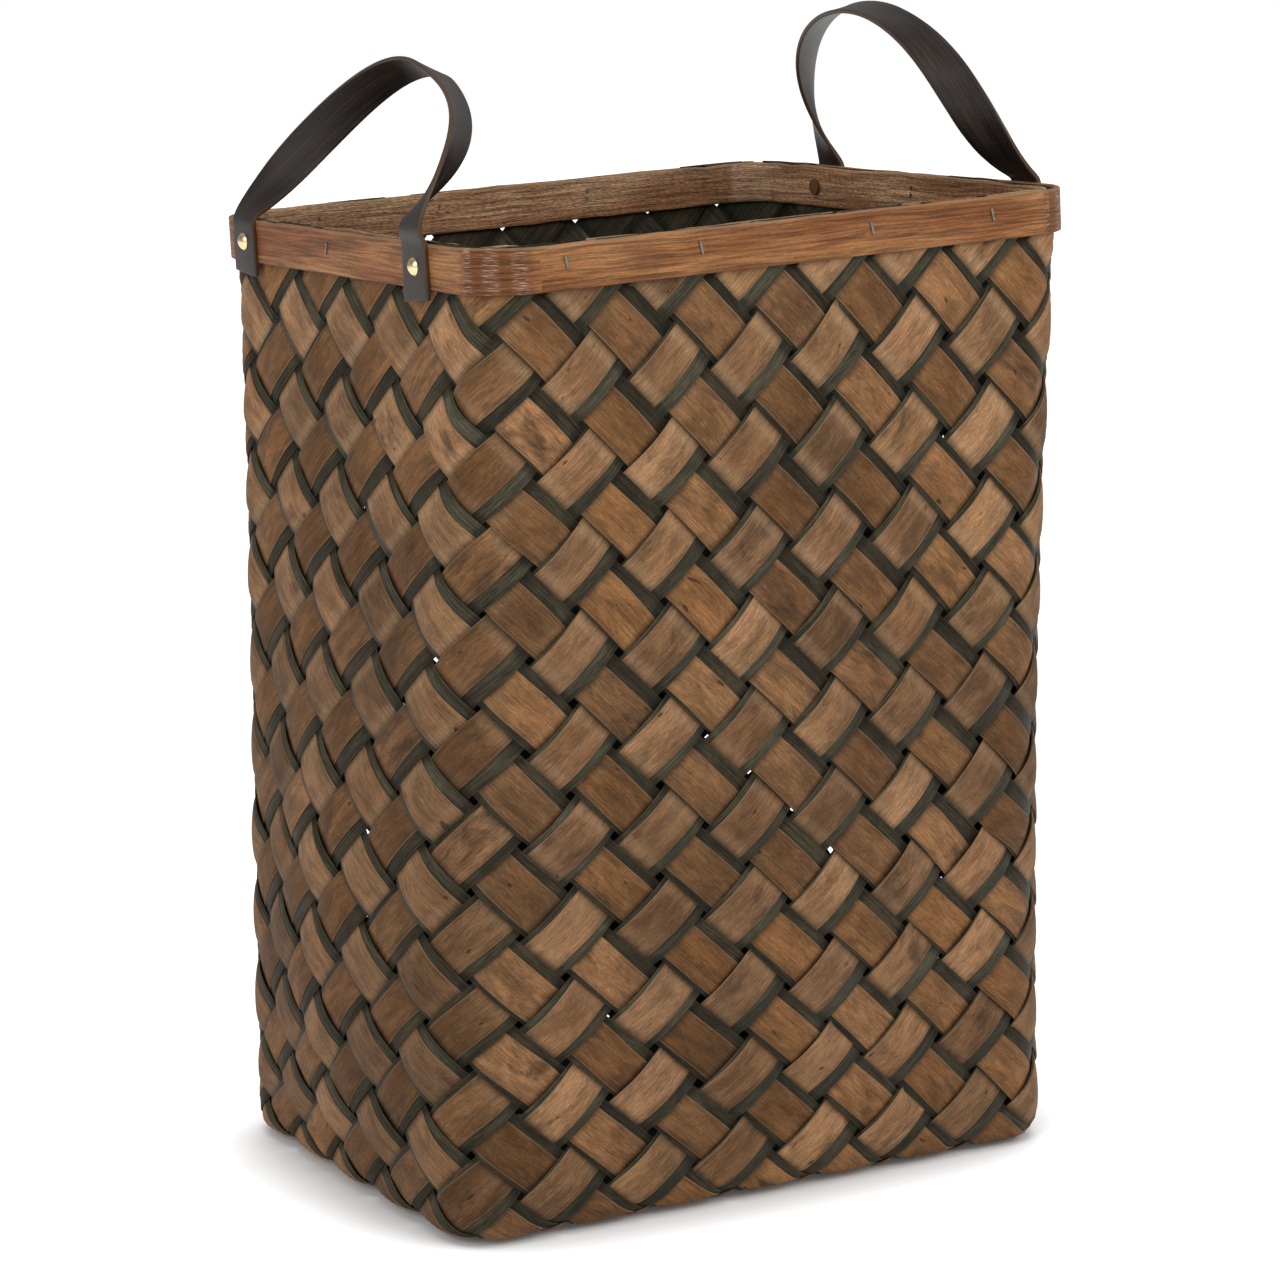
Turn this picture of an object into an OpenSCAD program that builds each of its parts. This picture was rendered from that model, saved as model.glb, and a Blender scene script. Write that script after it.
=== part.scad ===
// Tall laundry basket of plaited wood strips with a bent-wood rim and two riveted strap handles.
// Millimetres. X runs along the long side, Y along the short side, Z is up.
// The basket stands on Z = 0, centred on the Z axis; the front is towards -Y.

/* [Woven wall] */
// Height of the rim's lower edge above the floor
wall_h = 456; // [400:1:520]
// Thickness of the plaited wall
wall_t = 5; // [4:0.1:6]
// Thickness of the plaited wall where the rim hoops squeeze it
rim_grip = 3; // [2.4:0.1:4]
// Middle of the wall along X, at the foot
foot_w = 336; // [320:1:350]
// Middle of the wall along Y, at the foot
foot_d = 240; // [225:1:260]
// Middle of the wall along X, a third of the way up
belly_w = 347; // [330:1:360]
// Middle of the wall along Y, a third of the way up
belly_d = 251; // [235:1:275]
// Middle of the wall along X, two thirds of the way up
shoulder_w = 333; // [320:1:345]
// Middle of the wall along Y, two thirds of the way up
shoulder_d = 264; // [250:1:285]
// Corner radius at the foot
foot_corner_r = 20; // [16:1:30]
// Corner radius a third of the way up
belly_corner_r = 46; // [30:1:60]
// Corner radius two thirds of the way up
shoulder_corner_r = 38; // [30:1:50]
// How far the sides bow outwards a third of the way up
belly_bow = 11.5; // [0:0.5:16]
// How far the sides bow outwards two thirds of the way up
shoulder_bow = 5; // [0:0.5:10]
// Rounding of the fold between wall and base
foot_round = 6; // [3:0.5:9]

/* [Plait] */
// Cells of the plait along the long side
long_cells = 7; // [5:1:9]
// Cells of the plait along the short side
short_cells = 5; // [4:1:7]
// Rows of cells up the wall
wall_cells = 10; // [8:1:11]
// Depth of the hollows between the crossings of the strips
plait_relief = 2.1; // [0.5:0.1:2.2]
// How far the rows sink towards the back of the left side
row_sink = 9; // [0:0.5:12]

/* [Rim] */
// Outside of the rim along X
rim_w = 328; // [310:1:340]
// Outside of the rim along Y
rim_d = 292; // [275:1:305]
// Outer corner radius of the rim, as a share of its short side
rim_corner_share = 0.096; // [0.08:0.002:0.11]
// Height of the two wooden hoops
band_h = 21; // [17:0.5:28]
// Thickness of each wooden hoop
hoop_t = 3; // [2:0.1:4]
// Slope of the rim, which is higher at the +X end
rim_tilt = 2.75; // [0:0.25:4]
// How far the woven wall stops below the top of the hoops
strand_drop = 1; // [0.5:0.1:3]

/* [Strap handles] */
// Width of the strap
strap_w = 21.5; // [16:0.5:26]
// Thickness of the strap
strap_t = 2.2; // [1.6:0.1:3]
// Bevel along the strap's long edges
strap_bevel = 0.4; // [0.2:0.1:0.6]
// How far the strap's end hangs below the rim
tab_hang = 7; // [3:0.5:12]
// Distance between the rivets of the left handle, as a share of the rim's short side
left_spacing_share = 0.63; // [0.54:0.01:0.63]
// Distance between the rivets of the right handle, as a share of the rim's short side
right_spacing_share = 0.596; // [0.54:0.004:0.628]
// How far the left handle sits behind the middle, and the right one before it, as such a share
handle_shift_share = 0.038; // [0:0.002:0.04]
// How far the left loop leans over the mouth
left_lean = 54; // [30:1:70]
// Height of the left loop's middle above its fold
left_rise = 71; // [55:1:90]
// How far the right loop leans over the mouth
right_lean = 50; // [30:1:65]
// Height of the right loop's middle above its fold
right_rise = 80; // [65:1:95]
// Turn of the left strap between its fold and the middle of its loop
left_twist = 66; // [40:1:90]
// Turn of the right strap between its fold and the middle of its loop
right_twist = 80; // [40:1:95]

/* [Rivets] */
// Diameter of the domed rivet head
rivet_head_d = 9; // [7:0.1:12]
// Height of the domed rivet head
rivet_head_h = 2.6; // [1.6:0.1:3.6]
// Diameter of the rivet's shank
rivet_shank_d = 3.5; // [2.5:0.1:4.5]
// Diameter of the cap on the inside of the rim
rivet_cap_d = 8; // [6:0.1:10]
// Thickness of the cap on the inside of the rim
rivet_cap_t = 1.8; // [1.4:0.1:2.6]

/* [Staples] */
// Length of a staple's crown
crown_l = 6; // [5:0.5:9]
// Width of the staple wire
wire_w = 1.2; // [0.8:0.1:1.6]
// Thickness of the staple wire
wire_t = 0.6; // [0.4:0.1:0.9]
// Height of the staples' middle below the top of the hoops
staple_drop = 8.5; // [6:0.5:11]
// Lean of the staples from upright
staple_lean = 12; // [0:1:25]

/* [Fits] */
// Gap between the woven wall and each hoop
fit_gap = 0.3; // [0.2:0.05:0.4]
// Gap round a rivet's shank
shank_gap = 0.2; // [0.1:0.05:0.3]
// Gap between a rivet's shank and the socket of its cap
socket_gap = 0.1; // [0.05:0.05:0.2]
// Gap round a staple's legs
leg_gap = 0.15; // [0.1:0.05:0.25]
// Gap between the strap's riveted end and its loop at the fold
fold_gap = 0.3; // [0.2:0.05:0.6]
// Height of the strap's fold above the hoops
fold_rise = 1.6; // [1.3:0.1:3]

/* [Hidden] */
$fn = 48;

weave_color = [0.42, 0.29, 0.18];
band_color = [0.55, 0.34, 0.20];
strap_color = [0.20, 0.17, 0.16];
brass_color = [0.78, 0.62, 0.30];
steel_color = [0.55, 0.55, 0.56];

// Overrun of every cut
over = 1;
// Everything that the rim squeezes together, through both hoops
pack_t = 2 * hoop_t + 2 * fit_gap + rim_grip;
// Middle of the woven wall between the hoops
grip_in = hoop_t + fit_gap + rim_grip / 2;
mouth_w = rim_w - 2 * grip_in;
mouth_d = rim_d - 2 * grip_in;
rim_corner_r = rim_corner_share * rim_d;
mouth_corner_r = rim_corner_r - grip_in;

// Values at the foot, a third and two thirds of the way up, and at the mouth
widths = [foot_w, belly_w, shoulder_w, mouth_w];
depths = [foot_d, belly_d, shoulder_d, mouth_d];
corners = [foot_corner_r, belly_corner_r, shoulder_corner_r, mouth_corner_r];
bows = [0, belly_bow, shoulder_bow, 0];

// Smooth curve through four evenly spaced values, at share s of the way
function through(v, s) =
    v[0] * (1 - 3 * s) * (2 - 3 * s) * (1 - s) / 2
    + v[1] * 9 * s * (2 - 3 * s) * (1 - s) / 2
    - v[2] * 9 * s * (1 - 3 * s) * (1 - s) / 2
    + v[3] * s * (1 - 3 * s) * (2 - 3 * s) / 2;

// Steps of the rings round the wall, and rings up the wall, for each cell of the plait
cell_steps = 4;
row_steps = 2;
long_steps = long_cells * cell_steps;
short_steps = short_cells * cell_steps;

// Place at share s of half a side, from the side's middle (0) to the corner's middle (1): [run, drop]
function half_side(half_len, r, s) =
    let (straight = half_len - r)
    let (way = s * (straight + r * PI / 4))
    let (a = (way - straight) / r * 180 / PI)
    way < straight ? [way, 0] : [straight + r * sin(a), r * (1 - cos(a))];

// Place on a side for s from -1 to 1: [run along the side, distance out from the axis]
function side_place(half_len, half_gap, r, bow, s) =
    let (p = half_side(half_len, r, abs(s)))
    [sign(s) * p[0], half_gap - p[1] + bow * pow(cos(90 * s), 2)];

// Closed ring of a bowed rectangle with round corners, anticlockwise from the front left corner
function ring(w, d, r, bow) =
    let (front = [for (i = [0 : long_steps - 1])
        side_place(w / 2, d / 2, r, bow, 2 * i / long_steps - 1)])
    let (right = [for (i = [0 : short_steps - 1])
        side_place(d / 2, w / 2, r, bow, 2 * i / short_steps - 1)])
    concat(
        [for (p = front) [p[0], -p[1]]],
        [for (p = right) [p[1], p[0]]],
        [for (p = front) [-p[0], p[1]]],
        [for (p = right) [-p[1], -p[0]]]
    );

// Ring of the wall at share s of its height, moved outwards by out
function wall_ring(s, out) =
    ring(
        through(widths, s) + 2 * out,
        through(depths, s) + 2 * out,
        through(corners, s) + out,
        through(bows, s)
    );

// A ring at height z, leaning with the rim by share k of its slope
function leaning(points, z, k) =
    [for (p = points) [p[0] * cos(k * rim_tilt), p[1], z + p[0] * sin(k * rim_tilt)]];

// The same for a ring at height z inside the sloping rim
function in_rim(points, z) =
    [for (p = points) [
        p[0] * cos(rim_tilt) - z * sin(rim_tilt),
        p[1],
        wall_h + p[0] * sin(rim_tilt) + z * cos(rim_tilt)
    ]];

// Heights of the smooth inside's rings between foot and rim, as shares of the wall's height
level_shares = [0.06, 0.18, 0.32, 0.48, 0.66, 0.8, 0.9, 1];
foot_steps = 3;

// The wall leans and thins towards the rim over its last third
function near_rim(s) = max(0, 3 * s - 2);
function half_t(s) = (wall_t + (rim_grip - wall_t) * near_rim(s)) / 2;

// Height of plait row k. The cells grow slightly towards the rim
plait_share = 0.954;
growth = 0.038;
cell_rise = plait_share * wall_h / wall_cells;
function row_height(k) =
    let (t = k / row_steps / wall_cells)
    plait_share * wall_h * (t + growth * t * (t - 1));

// How far column i and row k stand out: 1 at a crossing of two strips and 0 at a gap
function standing(i, k) = pow((1 - cos(360 * i / cell_steps) * cos(360 * k / row_steps)) / 2, 0.7);

// The relief fades at the foot and where the rim squeezes the strips
function relief_at(z) =
    plait_relief * max(0, min(1, 2 * z / cell_rise - 0.2, 0.8 * (wall_h - z) / cell_rise));

// Sinking of column i, from the left side's front corner to its back corner and back to nothing on the back
function sinking(i, z) =
    let (back = i - long_steps - short_steps)
    let (share = back < 0 ? 0 : back < long_steps ? back / long_steps : (long_steps + short_steps - back) / short_steps)
    row_sink * share * min(1, z / cell_rise / 1.5, (wall_h - z) / cell_rise);

// Ring of plait row k on the outside
function plait_ring(k) =
    let (z = row_height(k), s = z / wall_h, lean = near_rim(s) * rim_tilt)
    let (low = wall_ring(s, half_t(s) - relief_at(z)), high = wall_ring(s, half_t(s)))
    [for (i = [0 : len(low) - 1])
        let (p = low[i] + standing(i, k) * (high[i] - low[i]))
        [p[0] * cos(lean), p[1], z - sinking(i, z) + p[0] * sin(lean)]];

// Skins of the wall, from foot to mouth
last_row_share = 0.985;
function rim_ring(side) = in_rim(wall_ring(1, side * rim_grip / 2), band_h - strand_drop);
function outer_skin() =
    let (rows = [for (k = [1 : row_steps * (wall_cells + 2)]) if (row_height(k) < last_row_share * wall_h) k])
    concat([for (k = rows) plait_ring(k)], [leaning(wall_ring(1, half_t(1)), wall_h, 1)], [rim_ring(1)]);
function inner_skin() =
    concat(
        [for (s = level_shares) leaning(wall_ring(s, -half_t(s)), s * wall_h, near_rim(s))],
        [rim_ring(-1)]
    );

// Rounded fold between base and wall, from the base upwards
function foot_skin(round_r, out, floor_z) =
    [for (i = [0 : foot_steps])
        let (a = 90 * i / foot_steps)
        leaning(wall_ring(0, out - round_r * (1 - sin(a))), floor_z + round_r * (1 - cos(a)), 0)];

module woven_body() {
    outside = concat(foot_skin(foot_round, wall_t / 2, 0), outer_skin());
    inside = concat(foot_skin(foot_round - wall_t / 2, -wall_t / 2, wall_t), inner_skin());
    rings = concat(outside, [for (i = [len(inside) - 1 : -1 : 0]) inside[i]]);
    n = len(rings[0]);
    last = len(rings) - 1;
    sides = [for (i = [0 : last - 1]) for (j = [0 : n - 1])
        let (a = i * n + j, b = i * n + (j + 1) % n, c = a + n, d = b + n)
        each [[a, c, b], [b, c, d]]];
    middles = [[0, 0, 0], [0, 0, wall_t]];
    low = len(rings) * n;
    base = [for (j = [0 : n - 1]) [j, (j + 1) % n, low]];
    floor_top = [for (j = [0 : n - 1]) [last * n + (j + 1) % n, last * n + j, low + 1]];
    color(weave_color)
    difference() {
        polyhedron(points = concat([for (r = rings) each r], middles), faces = concat(base, floor_top, sides));
        rivet_bores();
        on_staples() staple_slot();
        inner_hoop_room();
    }
}

// Places everything that belongs to the sloping rim; Z = 0 is the hoops' lower edge
module on_rim() translate([0, 0, wall_h]) rotate([0, -rim_tilt, 0]) children();

module outline(w, d, r) {
    square([w - 2 * r, d], center = true);
    square([w, d - 2 * r], center = true);
    for (x = [-1, 1])
        for (y = [-1, 1])
            translate([x * (w / 2 - r), y * (d / 2 - r)]) circle(r);
}

// A bent hoop whose outside lies inset inside the rim's outline
module hoop(inset) {
    w = rim_w - 2 * inset;
    d = rim_d - 2 * inset;
    r = rim_corner_r - inset;
    linear_extrude(band_h)
    difference() {
        outline(w, d, r);
        outline(w - 2 * hoop_t, d - 2 * hoop_t, r - hoop_t);
    }
}

// Room for the inner hoop, which keeps the wall's flat facets off it where it bends
module inner_hoop_room() {
    inset = pack_t - hoop_t - fit_gap / 2;
    on_rim()
    translate([0, 0, -fit_gap])
    linear_extrude(band_h + fit_gap + over) outline(rim_w - 2 * inset, rim_d - 2 * inset, rim_corner_r - inset);
}

module outer_rim_hoop() {
    color(band_color)
    difference() {
        on_rim() hoop(0);
        rivet_bores();
        on_staples() staple_bores();
    }
}

module inner_rim_hoop() {
    color(band_color)
    difference() {
        on_rim() hoop(pack_t - hoop_t);
        rivet_bores();
        on_staples() staple_bores();
    }
}

// Rivets. The left handle is moved back and the right one forward by the same shift
rivet_z = band_h / 2;
handle_shift = handle_shift_share * rim_d;
left_spacing = left_spacing_share * rim_d;
right_spacing = right_spacing_share * rim_d;
left_rivets = [handle_shift - left_spacing / 2, handle_shift + left_spacing / 2];
right_rivets = [-handle_shift - right_spacing / 2, -handle_shift + right_spacing / 2];

// Turns a piece drawn with its outside towards +X to the side of the basket, at place y along it
module at_left(y) on_rim() translate([-rim_w / 2, y, 0]) mirror([1, 0, 0]) children();
module at_right(y) on_rim() translate([rim_w / 2, y, 0]) children();

module bore() {
    translate([-pack_t - over, 0, rivet_z])
        rotate([0, 90, 0])
        cylinder(d = rivet_shank_d + 2 * shank_gap, h = pack_t + strap_t + 2 * over);
}

module rivet_bores() {
    for (y = left_rivets) at_left(y) bore();
    for (y = right_rivets) at_right(y) bore();
}

// Depth of the shank's socket in the cap, and how far the shank reaches into its own head
socket_h = rivet_cap_t / 2;
head_seat = rivet_head_h / 2;

// Domed head on the strap, and a shank through the strap and the rim into the cap
module rivet() {
    head_r = rivet_head_d / 2;
    ball_r = (head_r * head_r + rivet_head_h * rivet_head_h) / (2 * rivet_head_h);
    color(brass_color)
    translate([strap_t, 0, rivet_z])
    rotate([0, 90, 0]) {
        intersection() {
            translate([0, 0, rivet_head_h - ball_r]) sphere(ball_r);
            cylinder(r = ball_r + over, h = rivet_head_h + over);
        }
        translate([0, 0, socket_gap - strap_t - pack_t - socket_h])
            cylinder(d = rivet_shank_d, h = strap_t + pack_t + socket_h + head_seat - socket_gap);
    }
}
module cap() {
    color(brass_color)
    translate([-pack_t, 0, rivet_z])
    rotate([0, -90, 0])
    difference() {
        cylinder(d = rivet_cap_d, h = rivet_cap_t);
        translate([0, 0, -over])
            cylinder(d = rivet_shank_d + 2 * socket_gap, h = socket_h + over);
    }
}

// Staples, drawn with the outside of the rim towards +X. Their places are shares of each side
front_staple_shares = [-0.375, -0.16, 0.125, 0.335];
back_staple_shares = [-0.33, -0.12, 0.15, 0.37];
side_staple_share = 0.045;

leg_place = (crown_l - wire_w) / 2;
tip_l = crown_l / 3;

module slanted() translate([0, 0, band_h - staple_drop]) rotate([staple_lean, 0, 0]) children();

module staple() {
    color(steel_color)
    slanted() {
        translate([0, -wire_w / 2, -crown_l / 2]) cube([wire_t, wire_w, crown_l]);
        for (side = [-1, 1])
            translate([-pack_t - wire_t, 0, side * leg_place]) {
                translate([0, -wire_w / 2, -wire_w / 2]) cube([pack_t + 2 * wire_t, wire_w, wire_w]);
                translate([0, -wire_w / 2, -wire_w / 2 - (side > 0 ? tip_l - wire_w : 0)])
                    cube([wire_t, wire_w, tip_l]);
            }
    }
}

// Square bores for a staple's two legs
module staple_bores() {
    bore_w = wire_w + 2 * leg_gap;
    slanted()
    for (side = [-1, 1])
        translate([-pack_t - over, -bore_w / 2, side * leg_place - bore_w / 2])
            cube([pack_t + 2 * over, bore_w, bore_w]);
}

// One slot for both legs, between the strands of the woven wall
module staple_slot() {
    slot_w = wire_w + 2 * leg_gap;
    slot_l = crown_l + 2 * leg_gap;
    slanted()
    translate([-pack_t - over, -slot_w / 2, -slot_l / 2])
        cube([pack_t + 2 * over, slot_w, slot_l]);
}

module at_front(share) on_rim() translate([share * rim_w, -rim_d / 2, 0]) rotate([0, 0, -90]) children();
module at_back(share) on_rim() translate([share * rim_w, rim_d / 2, 0]) rotate([0, 0, 90]) children();

module on_front_staples() for (s = front_staple_shares) at_front(s) children();
module on_back_staples() for (s = back_staple_shares) at_back(s) children();
module on_left_staple() at_left(side_staple_share * rim_d) children();
module on_right_staple() at_right(-side_staple_share * rim_d) children();
module on_staples() {
    on_front_staples() children();
    on_back_staples() children();
    on_left_staple() children();
    on_right_staple() children();
}

module front_staples() on_front_staples() staple();
module back_staples() on_back_staples() staple();
module left_staple() on_left_staple() staple();
module right_staple() on_right_staple() staple();

// Riveted end of a strap. Its round top edge sits just under the fold
tab_top = band_h + fold_rise - strap_t - fold_gap;

module tab() {
    color(strap_color)
    difference() {
        translate([0, strap_w / 2, 0])
            rotate([90, 0, 0])
            linear_extrude(strap_w) {
                translate([0, -tab_hang]) square([strap_t, tab_hang + tab_top]);
                translate([strap_t / 2, tab_top]) circle(strap_t / 2);
            }
        bore();
    }
}

// Loops. Seven points steer each one from its front fold over the top to its back fold. They are shares
// of the loop's lean, of half the rivet spacing and of its rise. Two smooth stretches meet at the fourth.
left_curve_shares = [
    [0, -1, 0], [-0.25, -1, 0.19], [0.87, -1.06, 0.6], [1, -0.15, 1],
    [1.07, 0.34, 1.216], [0.91, 1, 0.65], [0, 1, 0]
];
right_curve_shares = [
    [0, -1, 0], [0.63, -1, 0.23], [1.03, -1.14, 0.8], [1, -0.42, 1],
    [0.98, 0.1, 1.145], [0.76, 1, 0.9], [0, 1, 0]
];
// How fast each stretch turns, front and back
left_turn_shares = [1, 2.7];
right_turn_shares = [1.9, 2.3];
leg_steps = 22;
nose_steps = 3;

function curve(p, t) =
    pow(1 - t, 3) * p[0] + 3 * t * pow(1 - t, 2) * p[1] + 3 * t * t * (1 - t) * p[2] + pow(t, 3) * p[3];
function heading(p, t) =
    let (v = pow(1 - t, 2) * (p[1] - p[0]) + 2 * t * (1 - t) * (p[2] - p[1]) + t * t * (p[3] - p[2]))
    v / norm(v);
// Length of the curve up to its step i, along the chords
function way(p, i) =
    i == 0 ? 0 : way(p, i - 1) + norm(curve(p, i / leg_steps) - curve(p, (i - 1) / leg_steps));

// Direction of the strap's outer face at step i of a leg, turned by share of the way
function facing(p, i, twist, power) =
    let (head = heading(p, i / leg_steps))
    let (start = [-1, 0, 0] + head[0] * head)
    let (out = start / norm(start))
    let (a = twist * (1 - pow(1 - way(p, i) / way(p, leg_steps), power)))
    out * cos(a) + cross(head, out) * sin(a);

// Ring of a bevelled strap section at place c, with its face towards n and its width along w
function strap_ring(c, n, w, half_thick, half_wide) =
    let (b = min(strap_bevel, half_thick / 2))
    [for (k = [
        [half_thick, half_wide - b], [half_thick - b, half_wide],
        [b - half_thick, half_wide], [-half_thick, half_wide - b],
        [-half_thick, b - half_wide], [b - half_thick, -half_wide],
        [half_thick - b, -half_wide], [half_thick, b - half_wide]
    ]) c + k[0] * n + k[1] * w];

// Rings of one leg from its fold to the top; way_y is 1 for the front leg and -1 for the back leg
function leg_rings(p, twist, power, way_y) =
    [for (i = [0 : leg_steps])
        let (n = facing(p, i, -way_y * twist, power))
        let (w = cross(heading(p, i / leg_steps), n) * way_y)
        strap_ring(curve(p, i / leg_steps), n, w, strap_t / 2, strap_w / 2)];

// Round nose of the strap at a fold, behind the first ring of the leg
function nose_rings(p, way_y) =
    let (head = heading(p, 0))
    [for (i = [nose_steps : -1 : 1])
        let (a = 80 * i / nose_steps)
        strap_ring(
            p[0] - head * sin(a) * strap_t / 2,
            facing(p, 0, 0, 1), [0, -way_y, 0], cos(a) * strap_t / 2, strap_w / 2
        )];

module loop(lean, spacing, rise, curve_shares, twist, turn_shares) {
    points = [for (s = curve_shares) [s[0] * lean, s[1] * spacing / 2, s[2] * rise]];
    front = [for (i = [0 : 3]) points[i]];
    back = [for (i = [6 : -1 : 3]) points[i]];
    front_rings = concat(nose_rings(front, 1), leg_rings(front, twist, turn_shares[0], 1));
    back_rings = concat(nose_rings(back, -1), leg_rings(back, twist, turn_shares[1], -1));
    rings = concat(front_rings, [for (i = [len(back_rings) - 2 : -1 : 0]) back_rings[i]]);
    n = len(rings[0]);
    last = len(rings) - 1;
    sides = [for (i = [0 : last - 1]) for (j = [0 : n - 1])
        let (a = i * n + j, b = i * n + (j + 1) % n, c = a + n, d = b + n)
        each [[a, c, b], [b, c, d]]];
    ends = [[for (j = [0 : n - 1]) j], [for (j = [n - 1 : -1 : 0]) last * n + j]];
    color(strap_color)
    polyhedron(points = [for (r = rings) each r], faces = concat(ends, sides));
}

// Middle of each fold, where the loop turns about a line along Y
fold_out = rim_w / 2 + strap_t / 2;
fold_z = band_h + fold_rise;
left_fold = [-fold_out * cos(rim_tilt) - fold_z * sin(rim_tilt), handle_shift,
    wall_h - fold_out * sin(rim_tilt) + fold_z * cos(rim_tilt)];
right_fold = [fold_out * cos(rim_tilt) - fold_z * sin(rim_tilt), -handle_shift,
    wall_h + fold_out * sin(rim_tilt) + fold_z * cos(rim_tilt)];

module left_handle_loop()
    translate(left_fold)
    loop(left_lean, left_spacing, left_rise, left_curve_shares, left_twist, left_turn_shares);
module right_handle_loop()
    translate(right_fold)
    mirror([1, 0, 0])
    loop(right_lean, right_spacing, right_rise, right_curve_shares, right_twist, right_turn_shares);

module left_front_tab() at_left(left_rivets[0]) tab();
module left_back_tab() at_left(left_rivets[1]) tab();
module right_front_tab() at_right(right_rivets[0]) tab();
module right_back_tab() at_right(right_rivets[1]) tab();
module left_front_rivet() at_left(left_rivets[0]) rivet();
module left_back_rivet() at_left(left_rivets[1]) rivet();
module right_front_rivet() at_right(right_rivets[0]) rivet();
module right_back_rivet() at_right(right_rivets[1]) rivet();
module left_front_cap() at_left(left_rivets[0]) cap();
module left_back_cap() at_left(left_rivets[1]) cap();
module right_front_cap() at_right(right_rivets[0]) cap();
module right_back_cap() at_right(right_rivets[1]) cap();

woven_body();
outer_rim_hoop();
inner_rim_hoop();
left_handle_loop();
left_front_tab();
left_back_tab();
right_handle_loop();
right_front_tab();
right_back_tab();
left_front_rivet();
left_back_rivet();
right_front_rivet();
right_back_rivet();
left_front_cap();
left_back_cap();
right_front_cap();
right_back_cap();
front_staples();
back_staples();
left_staple();
right_staple();
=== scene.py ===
"""Looks of a tall plaited laundry basket: doubled wood strips, bent-wood rim, two strap handles."""

import math

import bmesh
import bpy
import numpy as np
from bpy.props import FloatProperty, FloatVectorProperty, PointerProperty
from mathutils import Matrix, Vector


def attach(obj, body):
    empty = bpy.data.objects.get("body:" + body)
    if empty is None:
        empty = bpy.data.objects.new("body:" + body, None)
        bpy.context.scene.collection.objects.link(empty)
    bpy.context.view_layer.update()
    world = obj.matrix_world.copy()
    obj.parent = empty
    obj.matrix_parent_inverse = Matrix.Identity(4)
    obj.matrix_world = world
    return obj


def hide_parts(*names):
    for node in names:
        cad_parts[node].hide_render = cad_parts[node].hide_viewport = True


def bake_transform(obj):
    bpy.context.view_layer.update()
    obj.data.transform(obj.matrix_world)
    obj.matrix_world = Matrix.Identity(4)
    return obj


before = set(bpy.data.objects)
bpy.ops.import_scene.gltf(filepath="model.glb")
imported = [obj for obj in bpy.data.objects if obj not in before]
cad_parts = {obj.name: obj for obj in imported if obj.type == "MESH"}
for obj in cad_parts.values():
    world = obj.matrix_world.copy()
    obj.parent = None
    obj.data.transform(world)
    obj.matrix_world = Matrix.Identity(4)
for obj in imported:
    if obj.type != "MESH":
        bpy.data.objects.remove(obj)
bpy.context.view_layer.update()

bl_info = {
    "name": "Plaited Basket",
    "version": (1, 0, 0),
    "blender": (4, 5, 0),
    "location": "3D View > Sidebar > Basket",
    "description": "Builds the strips, hoops, straps and fittings of a plaited laundry basket",
    "category": "Add Mesh",
}

MM = 0.001
SEED = 41


# ---------------------------------------------------------------- settings

class WeaveSettings(bpy.types.PropertyGroup):
    dark_share: FloatProperty(
        name="Dark strip width", description="Width of a dark strip as a share of the pitch",
        default=0.885, min=0.7, max=0.97)
    veneer_share: FloatProperty(
        name="Veneer width", description="Width of a brown veneer as a share of the pitch",
        default=0.655, min=0.4, max=0.8)
    strip_t: FloatProperty(
        name="Strip thickness", description="Thickness of one strip",
        default=0.7 * MM, unit="LENGTH")
    arch_tight: FloatProperty(
        name="Tight arch", description="Height of the arches of the strips that start on the front",
        default=1.4 * MM, unit="LENGTH")
    arch_loose: FloatProperty(
        name="Loose arch", description="Height of the arches of the crossing strips",
        default=2.2 * MM, unit="LENGTH")
    fold_reach: FloatProperty(
        name="Fold reach", description="How far the fold between wall and base reaches each way",
        default=10 * MM, unit="LENGTH")
    # The warm and the pale veneer colours are picked by the wall and the way a strip leans there: the pale one is a
    # painted sheen, as wood fibres catch the light by their direction.
    veneer_warm: FloatVectorProperty(
        name="Warm veneer", description="Colour of the veneers on one set of strips",
        subtype="COLOR", default=(0.245, 0.115, 0.044))
    veneer_pale_sheen: FloatVectorProperty(
        name="Pale veneer", description="Colour of the veneers on the crossing set",
        subtype="COLOR", default=(0.345, 0.188, 0.094))
    veneer_stain: FloatVectorProperty(
        name="Stain", description="Colour of the veneers' dark blotches",
        subtype="COLOR", default=(0.085, 0.045, 0.026))
    # Colour of the painted light on the veneers' arch ends, which are lighter where they catch the light.
    veneer_lit_ends: FloatVectorProperty(
        name="Worn veneer", description="Colour of the veneers towards the ends of their arches",
        subtype="COLOR", default=(0.470, 0.300, 0.165))
    # The brown-black and the green-grey strip colours are picked the same way: the green-grey one is a painted sheen.
    dark_brown: FloatVectorProperty(
        name="Brown-black strip", description="Colour of one set of dark strips",
        subtype="COLOR", default=(0.036, 0.029, 0.017))
    dark_green_sheen: FloatVectorProperty(
        name="Green-grey strip", description="Colour of the crossing set of dark strips",
        subtype="COLOR", default=(0.052, 0.046, 0.029))


class RimSettings(bpy.types.PropertyGroup):
    outer_tone: FloatVectorProperty(
        name="Outer hoop", description="Colour of the outer hoop",
        subtype="COLOR", default=(0.365, 0.148, 0.054))
    inner_tone: FloatVectorProperty(
        name="Inner hoop", description="Colour of the inner hoop",
        subtype="COLOR", default=(0.460, 0.245, 0.128))
    edge_round: FloatProperty(
        name="Edge rounding", description="Rounding of the hoops' edges",
        default=0.7 * MM, unit="LENGTH")


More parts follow.
